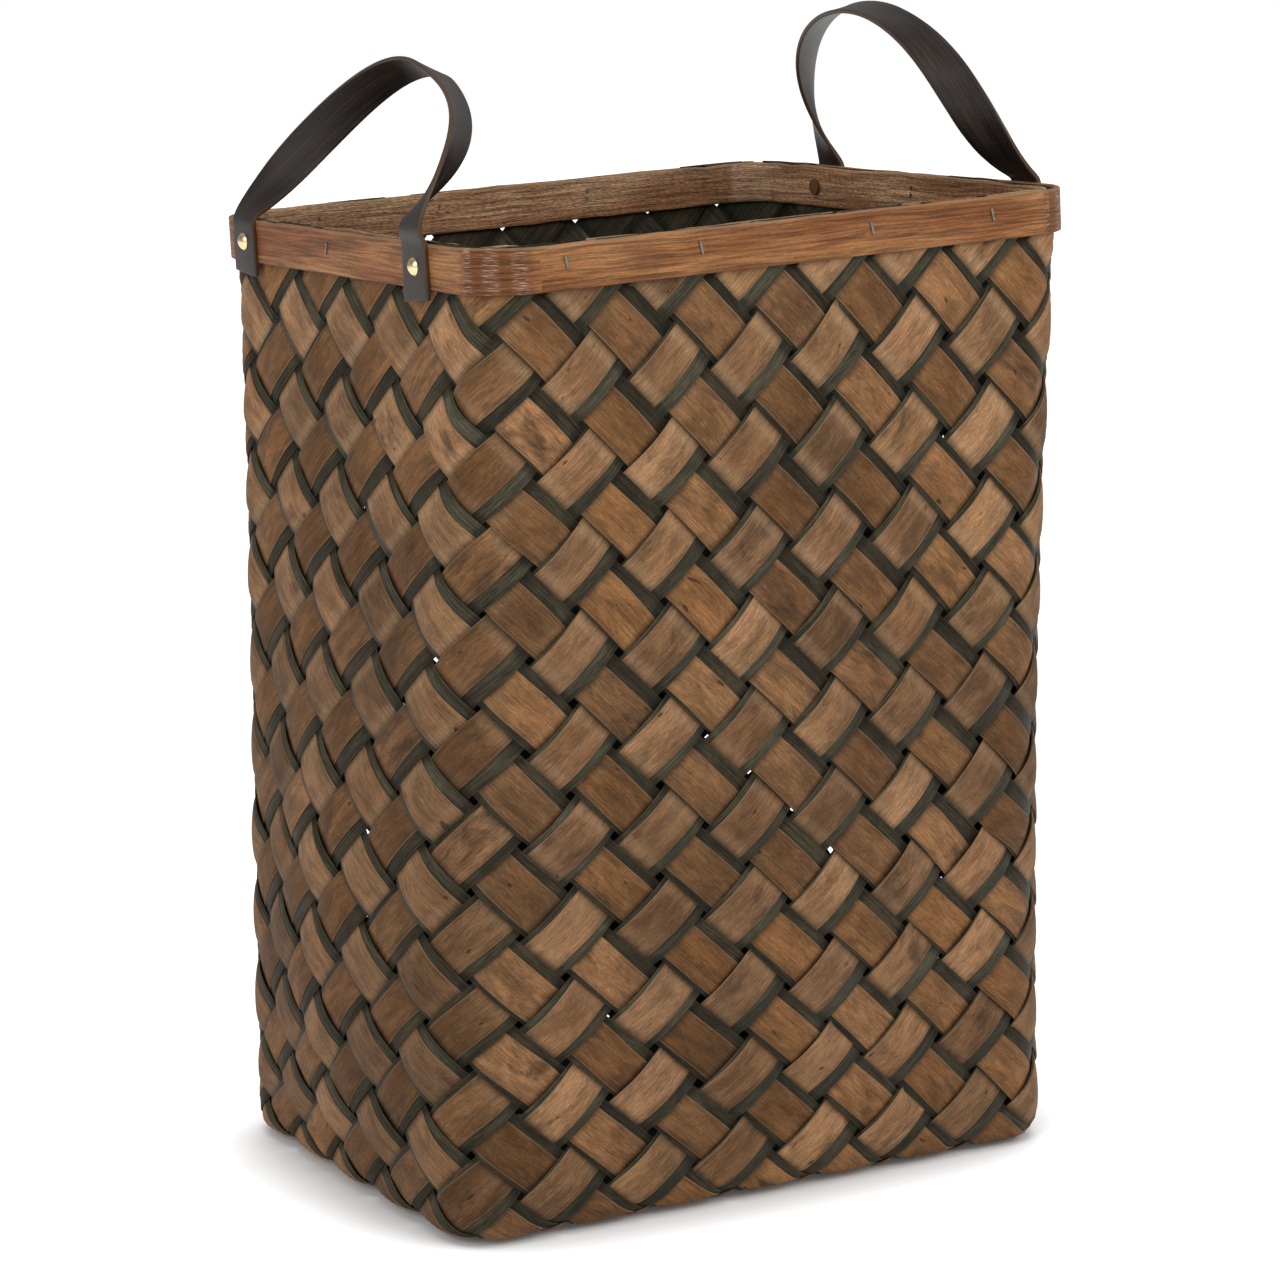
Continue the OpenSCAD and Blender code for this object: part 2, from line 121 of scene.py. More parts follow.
class StrapSettings(bpy.types.PropertyGroup):
    loop_w: FloatProperty(
        name="Loop width", description="Width of the strap over the loop",
        default=20.5 * MM, unit="LENGTH")
    tab_w: FloatProperty(
        name="End width", description="Width of the strap at its riveted ends",
        default=23 * MM, unit="LENGTH")
    strap_t: FloatProperty(
        name="Strap thickness", description="Thickness of the strap",
        default=2.2 * MM, unit="LENGTH")
    tone: FloatVectorProperty(
        name="Strap", description="Colour of the strap",
        subtype="COLOR", default=(0.026, 0.0185, 0.0150))
    edge_tone: FloatVectorProperty(
        name="Strap edge", description="Colour of the strap's cut edge",
        subtype="COLOR", default=(0.120, 0.066, 0.034))


class StageSettings(bpy.types.PropertyGroup):
    lens: FloatProperty(
        name="Lens", description="Focal length for a 36 mm sensor",
        default=108.4, min=20)
    key: FloatProperty(
        name="Main light", description="Power of the main soft light",
        default=13, min=0)
    fill: FloatProperty(
        name="Fill light", description="Power of the soft light on the short side",
        default=16, min=0)
    ambient: FloatProperty(
        name="Room light", description="Strength of the even light from the room",
        default=0.44, min=0)
    floor_reach: FloatProperty(
        name="Floor size", description="Half the side of the floor",
        default=8, min=2, unit="LENGTH")


# ---------------------------------------------------------------- shader maths

class Value:
    """A socket with arithmetic. A Math node stands for each operation."""

    def __init__(self, nodes, socket):
        self.nodes, self.socket = nodes, socket

    def math(self, operation, *others):
        return self.nodes.make("ShaderNodeMath", {"operation": operation}, self, *others)

    def __add__(self, other): return self.math("ADD", other)
    def __sub__(self, other): return self.math("SUBTRACT", other)
    def __mul__(self, other): return self.math("MULTIPLY", other)
    def __rsub__(self, other): return self.nodes.make("ShaderNodeMath", {"operation": "SUBTRACT"}, other, self)
    __radd__, __rmul__ = __add__, __mul__

    def clamp(self): return self.nodes.make("ShaderNodeClamp", {}, self)

    def between(self, low, high, to_low=0.0, to_high=1.0):
        """Smooth step of the value from low..high to to_low..to_high."""
        return self.nodes.make("ShaderNodeMapRange", {"interpolation_type": "SMOOTHSTEP"},
                               self, low, high, to_low, to_high)


class Finish:
    """One material. make() adds a node, with its settings and the values or links of its sockets."""

    def __init__(self, name):
        self.material = bpy.data.materials.new(name)
        self.material.use_nodes = True
        self.tree = self.material.node_tree
        self.tree.nodes.clear()

    def make(self, kind, settings=None, *inputs, out=0, **named):
        node = self.tree.nodes.new(kind)
        for key, value in (settings or {}).items():
            setattr(node, key, value)
        for key, value in list(enumerate(inputs)) + list(named.items()):
            if value is None:
                continue
            socket = node.inputs[key if isinstance(key, int) else key.replace("_", " ")]
            if isinstance(value, Value):
                self.tree.links.new(value.socket, socket)
            elif hasattr(value, "__len__") and len(value) == 3 and len(socket.default_value) == 4:
                socket.default_value = (*value, 1)
            else:
                socket.default_value = value
        return Value(self, node.outputs[out]) if node.outputs else None

    def place(self):
        return self.make("ShaderNodeTexCoord", out="Object")

    def along(self):
        """(length in metres, width from 0 to 1) of a strip."""
        return self.make("ShaderNodeUVMap", {"uv_map": "UVMap"})

    def note(self, name):
        return self.make("ShaderNodeAttribute", {"attribute_name": name}, out="Fac")

    def parts(self, vector):
        node = self.make("ShaderNodeSeparateXYZ", {}, vector).socket.node
        return [Value(self, node.outputs[i]) for i in range(3)]

    def point(self, x, y, z=0.0):
        return self.make("ShaderNodeCombineXYZ", {}, x, y, z)

    def noise(self, vector, scale, detail=3.0, rough=0.5, distortion=0.0):
        return self.make("ShaderNodeTexNoise", {}, Vector=vector, Scale=scale, Detail=detail,
                         Roughness=rough, Distortion=distortion)

    def tint(self, color, factors):
        """A colour multiplied by three factors."""
        return self.mix(1.0, color, factors, "MULTIPLY")

    def mix(self, share, a, b, blend="MIX"):
        node = self.make("ShaderNodeMix", {"data_type": "RGBA", "blend_type": blend}).socket.node
        for index, value in ((0, share), (6, a), (7, b)):
            if isinstance(value, Value):
                self.tree.links.new(value.socket, node.inputs[index])
            elif hasattr(value, "__len__") and len(value) == 3:
                node.inputs[index].default_value = (*value, 1)
            else:
                node.inputs[index].default_value = value
        return Value(self, node.outputs[2])

    def shade(self, color, share):
        """The colour made lighter or darker by a share."""
        return self.mix(1.0, color, self.point(share, share, share), "MULTIPLY")

    def bump(self, height, strength, depth):
        return self.make("ShaderNodeBump", {}, Strength=strength, Distance=depth, Height=height)

    def surface(self, **inputs):
        shader = self.make("ShaderNodeBsdfPrincipled", {}, **inputs)
        self.make("ShaderNodeOutputMaterial", {}, Surface=shader)
        return self.material


# ---------------------------------------------------------------- shape of the wall

def read_shape():
    """The sizes of the wall and rim, in metres, as part.scad has them."""
    return {
        "wall_h": 456 * MM, "band_h": 21 * MM, "hoop_t": 3 * MM, "rim_w": 328 * MM, "rim_d": 292 * MM,
        "rim_r": 28.032 * MM, "tilt": math.radians(2.75), "pack_t": 9.6 * MM,
        "w": np.array([336, 347, 333, 318.4]) * MM, "d": np.array([240, 251, 264, 282.4]) * MM,
        "r": np.array([20, 46, 38, 23.2]) * MM, "bow": np.array([0, 11.5, 5, 0]) * MM,
    }


SHAPE = read_shape()
LONG, SHORT, ROWS = 7, 5, 10          # cells along the front, along the short side and up the wall
HALF_LONG, HALF_SHORT = LONG / 2, SHORT / 2
CORNERS = (-4, 3, 8, 15, 20)          # places u of the corners round the wall; the first and the last are one
MIDDLES = (-0.5, 5.5, 11.5, 17.5)     # places u of the middles of the front, right, back and left walls
FOLD_ROW = -2                         # place v of the fold between wall and base
CELL = 48 * MM
PITCH = math.sqrt(0.5)                # distance between neighbouring strips, in cells
BASE_MID = 3.2 * MM                   # middle of the plaited base above the floor
GIRTH = 2 * (LONG + SHORT)
ROWS_RISE, ROW_GROWTH = 0.435, 0.038  # height of all rows in metres, and how much the rows grow upwards
ROW_SINK = 9.2 * MM                   # how far the rows sink at the left wall's back corner


def through(v, s):
    """Curve through the four values v at a third apart, at share s of the height."""
    return (v[0] * (1 - 3 * s) * (2 - 3 * s) * (1 - s) / 2 + v[1] * 9 * s * (2 - 3 * s) * (1 - s) / 2
            - v[2] * 9 * s * (1 - 3 * s) * (1 - s) / 2 + v[3] * s * (1 - 3 * s) * (2 - 3 * s) / 2)


def side_run(share, half_len, r):
    """Place at a share of half a side, from its middle to its corner's middle: (run along it, drop from its line)."""
    straight = half_len - r
    way = np.abs(share) * (straight + r * math.pi / 4)
    turn = np.clip((way - straight) / r, 0, None)
    run = np.where(way < straight, way, straight + r * np.sin(turn))
    return np.sign(share) * run, np.where(way < straight, 0, r * (1 - np.cos(turn)))


def round_place(u):
    """Place u brought into one turn, from the first corner on, and the wall it is on: front, right, back, left."""
    u = np.mod(u - CORNERS[0], GIRTH) + CORNERS[0]
    return u, np.select([u < corner for corner in CORNERS[1:4]], [0, 1, 2], 3)


def section(u, w, d, r, bow):
    """Point of a bowed rectangle with round corners at place u round it."""
    u, side = round_place(u)
    middle = np.choose(side, MIDDLES)
    half = np.where(side % 2 == 0, HALF_LONG, HALF_SHORT)
    share = (u - middle) / half
    half_len = np.where(side % 2 == 0, w / 2, d / 2)
    half_gap = np.where(side % 2 == 0, d / 2, w / 2)
    run, drop = side_run(share, half_len, r)
    out = half_gap - drop + bow * np.cos(math.pi / 2 * share) ** 2
    x = np.choose(side, [run, out, -run, -out])
    y = np.choose(side, [-out, run, out, -run])
    return x, y


def lean_point(x, y, z, share):
    """The wall leans with the rim over its last third, and fully inside the rim."""
    a = share * SHAPE["tilt"]
    inside = z > SHAPE["wall_h"]
    up = np.where(inside, z - SHAPE["wall_h"], 0)
    level = np.where(inside, SHAPE["wall_h"], z)
    return np.stack([x * np.cos(a) - up * np.sin(a), y, level + x * np.sin(a) + up * np.cos(a)], -1)


def fold_curve(way):
    """Rounded fold at way metres past the sharp edge (below 0 on the base): (inward shift, height)."""
    reach = bpy.context.scene.basket_weave.fold_reach
    t = np.clip((way + reach) / (2 * reach), 0, 1)
    rise = np.where(way > reach, way, reach * t ** 2)
    return np.where(np.abs(way) < reach, reach * (1 - t) ** 2 - np.where(way < 0, -way, 0), 0), rise


def wall_height(v):
    """Way up the wall at place v, from the fold."""
    k = (v - FOLD_ROW) / ROWS
    return ROWS_RISE * (k + ROW_GROWTH * k * (k - 1))


def row_drop(u, v):
    """Rows of the left wall sink a little towards its back corner and come back over the other walls."""
    u, side = round_place(u)
    share = np.choose(side, [0 * u, 0 * u, (u - CORNERS[2]) / LONG, (CORNERS[4] - u) / SHORT])
    return -ROW_SINK * share * np.clip((v - FOLD_ROW) / 1.5, 0, 1) * np.clip((9.4 - v) / 2.0, 0, 1)


def wall_point(u, v):
    """Point of the wall's middle surface at place u, v."""
    rise = wall_height(v)
    inward, up = fold_curve(rise)
    z = up + BASE_MID * (1 - np.clip(rise / SHAPE["wall_h"], 0, 1)) + row_drop(u, v)
    s = np.clip(z / SHAPE["wall_h"], 0, 1)
    x, y = section(u, through(SHAPE["w"], s) - 2 * inward, through(SHAPE["d"], s) - 2 * inward,
                   np.maximum(through(SHAPE["r"], s) - inward, 4 * MM), through(SHAPE["bow"], s))
    return lean_point(x, y, z, np.clip(3 * s - 2, 0, 1))


def base_point(x, y):
    """Point of the base at place x, y in cells. Near its edge the rectangle closes up to the rounded foot."""
    level = np.maximum(np.maximum(np.abs(x) / HALF_LONG, np.abs(y) / HALF_SHORT), 1e-6)
    ex, ey = x / level, y / level
    on_long = np.abs(ey) >= HALF_SHORT - 1e-9
    u_long = np.where(ey < 0, ex + MIDDLES[0], MIDDLES[2] - ex)
    u_short = np.where(ex > 0, ey + MIDDLES[1], MIDDLES[3] - ey)
    u = np.where(on_long, u_long, u_short)
    rx, ry = section(u, SHAPE["w"][0], SHAPE["d"][0], SHAPE["r"][0], 0.0)
    half_x, half_y = SHAPE["w"][0] / LONG, SHAPE["d"][0] / SHORT
    close = level ** 6
    px = x * half_x + close * (rx - ex * half_x)
    py = y * half_y + close * (ry - ey * half_y)
    in_x, up_x = fold_curve(-(HALF_LONG - np.abs(x)) * CELL)
    in_y, up_y = fold_curve(-(HALF_SHORT - np.abs(y)) * CELL)
    return np.stack([px - np.sign(x) * in_x, py - np.sign(y) * in_y, BASE_MID + np.maximum(up_x, up_y)], -1)


def sheet_point(u, v, side):
    """Point of the plait in the flat pattern of one wall; below the fold it lies on the base."""
    over = FOLD_ROW - v
    x = np.choose(side, [u - MIDDLES[0], HALF_LONG - over, MIDDLES[2] - u, -HALF_LONG + over])
    y = np.choose(side, [-HALF_SHORT + over, u - MIDDLES[1], HALF_SHORT - over, MIDDLES[3] - u])
    return np.where((v < FOLD_ROW)[..., None], base_point(x, y), wall_point(u, np.maximum(v, FOLD_ROW)))


def sheet_normal(u, v, side):
    e = 0.01
    across = sheet_point(u + e, v, side) - sheet_point(u - e, v, side)
    up = sheet_point(u, v + e, side) - sheet_point(u, v - e, side)
    n = np.cross(across, up)
    return n / np.linalg.norm(n, axis=-1, keepdims=True)


# ---------------------------------------------------------------- strips

def strip_runs():
    """Each doubled strip: its two folds as (place round the foot, way it leans, wall) and its crossings on the base."""
    runs = []
    for kind in (1, -1):                       # 1 runs (+x, +y) over the base, -1 runs (+x, -y)
        for k in range(LONG + SHORT):
            c = k - (LONG + SHORT - 1) / 2     # place where the strip crosses the base's middle line
            off_left, off_right = c > HALF_SHORT - HALF_LONG, c < HALF_LONG - HALF_SHORT
            start = (c - HALF_SHORT, -HALF_SHORT * kind) if off_left else (-HALF_LONG, -(HALF_LONG + c) * kind)
            end = (c + HALF_SHORT, HALF_SHORT * kind) if off_right else (HALF_LONG, (HALF_LONG - c) * kind)
            crossings = round(2 * (end[0] - start[0]))
            runs.append((kind, k, fold_place(start, kind), fold_place(end, kind), crossings))
    return runs


def fold_place(point, kind):
    """Place u of a fold, lean of the strip up that wall (+1 or -1 in u) and the wall's number."""
    x, y = point
    if y == -HALF_SHORT:
        return x + MIDDLES[0], -kind, 0
    if x == HALF_LONG:
        return y + MIDDLES[1], kind, 1
    if y == HALF_SHORT:
        return MIDDLES[2] - x, -kind, 2
    return MIDDLES[3] - y, kind, 3


def arch(w):
    """Height of a strip at place w, from -1 (under) to 1 (over). It dives where a crossing strip's edge hides it."""
    flatness = 2.2
    return np.tanh(flatness * np.cos(math.pi * w)) / math.tanh(flatness)


def crown(w):
    """The rounder part of an arch, from 0 at its ends to 1 in its middle."""
    return np.clip(np.cos(math.pi * w), 0, 1) ** 1.3


def sheen_and_loose_arch_share(u, lean):
    """1 where a strip shows its loosely arched look and its pale painted sheen, by the wall and the way it leans there,
    else 0.
    """
    u, side = round_place(u)
    from_corner = np.minimum.reduce([np.abs(u - corner) for corner in CORNERS])
    share = 0.5 + 0.5 * np.clip(from_corner / 0.4, 0, 1) * np.where(side % 2 == 0, 1, -1)
    return np.where(lean > 0, share, 1 - share)


def smooth_noise(rng, x, step, size):
    """Smooth random curve over x with a new value at every step."""
    knots = rng.normal(0, size, int(np.ptp(x) / step) + 4)
    at = (x - x.min()) / step
    i = at.astype(int)
    f = at - i
    f = f * f * (3 - 2 * f)
    return knots[i] * (1 - f) + knots[i + 1] * f


def ribbon(name, rings, columns):
    """Flat strip with a UV map, as a mesh, and its vertices as (share of length, share of width)."""
    bm = bmesh.new()
    bm.loops.layers.uv.new("UVMap")
    bmesh.ops.create_grid(bm, x_segments=rings, y_segments=columns, size=0.5, calc_uvs=True)
    mesh = bpy.data.meshes.new(name)
    bm.to_mesh(mesh)
    bm.free()
    co = np.zeros(len(mesh.vertices) * 3, np.float32)
    mesh.vertices.foreach_get("co", co)
    co = co.reshape(-1, 3)[:, :2].astype(float)
    co = (co - co.min(0)) / np.ptp(co, axis=0)
    return mesh, co


def set_places(mesh, points):
    mesh.vertices.foreach_set("co", np.ascontiguousarray(points, np.float32).ravel())
    mesh.update()


def scale_uv(mesh, length, shift=0.0):
    """Scales the UV map to (metres along, 0 to 1 across)."""
    uv = mesh.uv_layers["UVMap"].data
    values = np.zeros(len(uv) * 2, np.float32)
    uv.foreach_get("uv", values)
    values = values.reshape(-1, 2) * (length, 1.0) + (shift, 0)
    uv.foreach_set("uv", values.astype(np.float32).ravel())


def note_values(mesh, name, values):
    mesh.attributes.new(name, "FLOAT", "POINT").data.foreach_set("value", np.ascontiguousarray(values, np.float32))


def outward(mesh, flip):
    """Turns the ribbon's faces to the side that the strip's outside is on."""
    if flip:
        mesh.flip_normals()


def finished(name, mesh, material, body, thickness=0.0, bevel=0.0, smooth=True):
    piece = bpy.data.objects.new(name, mesh)
    bpy.context.scene.collection.objects.link(piece)
    mesh.materials.append(material)
    if thickness:
        wall = piece.modifiers.new("Thickness", "SOLIDIFY")
        wall.thickness, wall.offset, wall.use_even_offset = thickness, 0, False
    if bevel:
        edge = piece.modifiers.new("Edges", "BEVEL")
        edge.width, edge.segments, edge.limit_method, edge.angle_limit = bevel, 2, "ANGLE", math.radians(50)
    for face in mesh.polygons:
        face.use_smooth = smooth
    if body:
        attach(piece, body)
    return piece


STRIP_ROWS = 11.3                     # rows that a strip runs up a wall, a little past the rim
RINGS_PER_CROSSING = 8
STRIP_STRETCH = 1.38                  # length of a strip against a straight line across the cells
VENEER_OFFSETS = {1: 0.028, -1: 0.072}


def strip_mesh(name, run, veneer, rng):
    """One strip of a doubled pair, bent along its way from rim to rim."""
    s = bpy.context.scene.basket_weave
    kind, number, first, last, crossings = run
    shared = np.random.default_rng([SEED, kind + 1, number])     # the same bends for both strips of a pair
    tops = 2 * STRIP_ROWS
    span = crossings + 2 * tops
    mesh, grid = ribbon(name, int(span * RINGS_PER_CROSSING), 6)
    w = grid[:, 0] * span - tops
    half = PITCH / 2 * (s.veneer_share if veneer else s.dark_share)
    wide = 1 + smooth_noise(rng, w, 3.0, 0.025 if veneer else 0.02)
    across = (grid[:, 1] * 2 - 1)
    # the veneer lies off the middle of its dark strip, towards smaller u on both walls
    swap = 1 - 2 * np.clip((w - 0.3 * crossings) / (0.4 * crossings), 0, 1)
    t = half * wide * across + (VENEER_OFFSETS[kind] * swap if veneer else 0)
    t = t + smooth_noise(shared, w, 4.0, 0.012) + (smooth_noise(rng, w, 1.0, 0.012) if veneer else 0)
    near = w < crossings / 2
    out = np.where(near, -w, w - crossings) / 2
    u0 = np.where(near, first[0], last[0])
    lean = np.where(near, first[1], last[1])
    side = np.where(near, first[2], last[2])
    turn = np.where(near, -1, 1) * PITCH * t
    u = u0 + lean * out + turn
    v = FOLD_ROW + out - turn * lean
    point, normal = sheet_point(u, v, side), sheet_normal(u, v, side)
    # pale: share of the painted sheen by wall and lean, which also loosens the arches
    pale = sheen_and_loose_arch_share(u, lean)
    sign = 1 if first[1] == -1 else -1
    squeezed = np.clip((v - 7.2) / 1.3, 0, 1)       # flat between the hoops
    loose = s.arch_tight + (s.arch_loose - s.arch_tight) * pale * (1 + smooth_noise(shared, w, 2.0, 0.25))
    low = s.strip_t * 1.15
    bent = low * sign * arch(w) + (loose - low) * crown(w if sign > 0 else w + 1)
    lift = bent + (0.65 * MM * sign * arch(w) - bent) * squeezed
    cup = -0.25 * MM * across ** 2 * (1 - squeezed)
    layer = (0.35 * MM if veneer else -0.3 * MM)
    wobble = smooth_noise(shared, w, 2.5, 0.12 * MM) * (1 - squeezed)
    set_places(mesh, point + normal * (lift + cup + layer + wobble)[:, None])
    scale_uv(mesh, span / 2 * CELL * STRIP_STRETCH, rng.uniform(0, 40))
    note_values(mesh, "sheen_and_loose_arch_share", pale)
    note_values(mesh, "strip_tone", np.full(len(w), rng.uniform(0, 1)))
    # the finishes paint shade from the arch where a strip dives under its neighbours
    note_values(mesh, "arch_share", sign * arch(w))
    note_values(mesh, "cell_tone", cell_noise(rng, w if sign < 0 else w + 1))
    face = mesh.polygons[len(mesh.polygons) // 2]
    i = face.vertices[0]
    outward(mesh, Vector(normal[i]).dot(face.normal) < 0)
    trim_at_rim(mesh, rng.uniform(-1.6, 0.8) * MM)
    return mesh


def trim_at_rim(mesh, above):
    """Cuts a strip off along the top of the hoops, above metres higher."""
    a = SHAPE["tilt"]
    bm = bmesh.new()
    bm.from_mesh(mesh)
    bmesh.ops.bisect_plane(
        bm, geom=bm.verts[:] + bm.edges[:] + bm.faces[:], dist=1e-7, clear_outer=True,
        plane_co=(0, 0, SHAPE["wall_h"] + SHAPE["band_h"] + above), plane_no=(-math.sin(a), 0, math.cos(a)))
    bm.to_mesh(mesh)
    bm.free()


def cell_noise(rng, w):
    """A tone for each arch of a strip, constant over the arch, which lies round an odd w."""
    cell = np.floor(w / 2).astype(int)
    return rng.uniform(0, 1, int(np.ptp(cell)) + 1)[cell - cell.min()]


class BASKET_OT_strips(bpy.types.Operator):
    """Plaits the 24 doubled strips of the wall and base"""
    bl_idname = "basket.strips"
    bl_label = "Plait Strips"

    def execute(self, context):
        rng = np.random.default_rng(SEED)
        dark, veneer = dark_strip_finish(), veneer_finish()
        runs = strip_runs()
        if len(runs) != GIRTH:
            raise RuntimeError("the strips don't fill the base")
        for run in runs:
            tag = "%s_%02d" % ("rising" if run[0] == 1 else "falling", run[1] + 1)
            for is_veneer, word, material in ((False, "dark_strip_", dark), (True, "veneer_strip_", veneer)):
                mesh = strip_mesh(word + tag, run, is_veneer, rng)
                t = context.scene.basket_weave.strip_t * (0.85 if is_veneer else 1)
                piece = finished(word + tag, mesh, material, "basket", thickness=t)
                if run is runs[0] and not is_veneer:
                    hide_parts("woven_body")
        return {"FINISHED"}


# ---------------------------------------------------------------- finishes

def veneer_finish():
    """Brown wood: fibres and flecks along the strip, blotches, and a tone of its own for each arch, with a painted
    sheen by the way a strip leans, painted light on the arches' ends and towards the top, a painted highlight along the
    edges and painted shade where it dives under.
    """
    s = bpy.context.scene.basket_weave
    m = Finish("veneer")
    length, width, _ = m.parts(m.along())
    pale, tone = m.note("sheen_and_loose_arch_share"), m.note("strip_tone")
    arch_at, cell = m.note("arch_share"), m.note("cell_tone")
    place = m.place()
    _, _, height = m.parts(place)
    hue, own = (cell * 7.31).math("FRACT"), (cell * 3.17).math("FRACT")
    sway = m.noise(m.point(length * 30, width * 1.5, tone * 60), 1.0, 2, 0.5)
    fibre = m.noise(m.point(length * 60, width * 40 + sway * 7, tone * 9), 1.0, 5, 0.74, 0.3)
    fleck = m.noise(m.point(length * 330, width * 80 + sway * 9, tone * 5), 1.0, 3, 0.75)
    blotch = m.noise(m.point(length * 42, width * 2.2, tone * 30), 1.0, 4, 0.65, 0.6)
    stain = m.noise(m.point(length * 26, width * 1.3, tone * 50 + 7), 1.0, 4, 0.65, 0.6)
    spot = m.noise(m.point(length * 120, width * 5, tone * 20 + 3), 1.0, 1, 0.5)
    region = m.noise(place, 7.0, 2, 0.5)
    # warm against pale: a painted sheen by wall and lean, mixed with a random tone for each arch
    color = m.mix((pale * 0.62 + hue * 0.6 - 0.12).clamp(), s.veneer_warm, s.veneer_pale_sheen)
    color = m.shade(color, own * 0.58 + 0.62)
    color = m.shade(color, region.between(0.36, 0.62, 0.70, 1.12))
    color = m.mix(stain.between(0.52, 0.66) * cell.between(0.25, 0.9, 0.15, 0.75), color, s.veneer_stain)
    color = m.shade(color, blotch.between(0.34, 0.66, 0.72, 1.26))
    # lighter towards the arches' ends and the top of the wall: painted light
    lit_ends = arch_at.between(0.55, 0.97, 0.4, 0.0) * (pale * 0.7 + 0.15) * height.between(-0.1, 0.4)
    color = m.mix(lit_ends, color, s.veneer_lit_ends)
    color = m.shade(color, fibre.between(0.37, 0.64, 1.20, 0.68))
    color = m.shade(color, fleck.between(0.30, 0.68, 0.68, 1.32))
    color = m.mix(spot.between(0.74, 0.80) * 0.75, color, (0.030, 0.017, 0.011))
    # pale line along the veneer's edges: a painted highlight
    edge = (width - 0.5).math("ABSOLUTE").between(0.462, 0.495)
    color = m.mix(edge * (0.2 + fleck * 0.8), color, (0.36, 0.22, 0.12))
    # lighter towards the top of the wall: painted light from above
    color = m.shade(color, height.between(0.24, 0.46, 1.0, 1.28))
    # darker where the veneer dives under its neighbours: painted shade
    color = m.mix(arch_at.between(-0.7, 0.45, 1.0, 0.0) * 0.75, color, (0.020, 0.014, 0.009))
    grain = fibre * 0.5 + fleck * 0.4 + blotch * 0.4
    return m.surface(Base_Color=color, Roughness=fleck * 0.2 + 0.52, Specular_IOR_Level=0.12,
                     Normal=m.bump(grain, 1.0, 0.7 * MM))


def dark_strip_finish():
    """Dark brown-black wood with pale fibres along its length, a painted green-grey sheen by the way a strip leans, and
    painted shade where it dives under.
    """
    s = bpy.context.scene.basket_weave
    m = Finish("dark_strip")
    length, width, _ = m.parts(m.along())
    pale, tone, arch_at = m.note("sheen_and_loose_arch_share"), m.note("strip_tone"), m.note("arch_share")
    fibre = m.noise(m.point(length * 36, width * 30, tone * 9), 1.0, 5, 0.72, 0.3)
    fleck = m.noise(m.point(length * 220, width * 80, tone * 5), 1.0, 3, 0.75)
    blotch = m.noise(m.point(length * 26, width * 1.6, tone * 30), 1.0, 3, 0.6)
    # brown-black against green-grey: a painted sheen by wall and lean
    color = m.mix(pale, s.dark_brown, s.dark_green_sheen)
    color = m.shade(color, tone * 0.35 + 0.8)
    color = m.shade(color, blotch.between(0.36, 0.66, 0.72, 1.42))
    color = m.shade(color, fibre.between(0.36, 0.66, 1.45, 0.50))
    color = m.shade(color, fleck.between(0.30, 0.70, 0.62, 1.55))
    edge = (width - 0.5).math("ABSOLUTE").between(0.480, 0.498)
    color = m.mix(edge * 0.35, color, (0.15, 0.115, 0.065))
    # darker where the strip dives under its neighbours: painted contact shade
    color = m.mix(arch_at.math("ABSOLUTE").between(0.05, 0.75, 1.0, 0.0) * 0.6, color, (0.008, 0.007, 0.005))
    return m.surface(Base_Color=color, Roughness=fleck * 0.2 + 0.5, Specular_IOR_Level=0.12,
                     Normal=m.bump(fibre * 0.6 + fleck * 0.4, 0.8, 0.5 * MM))


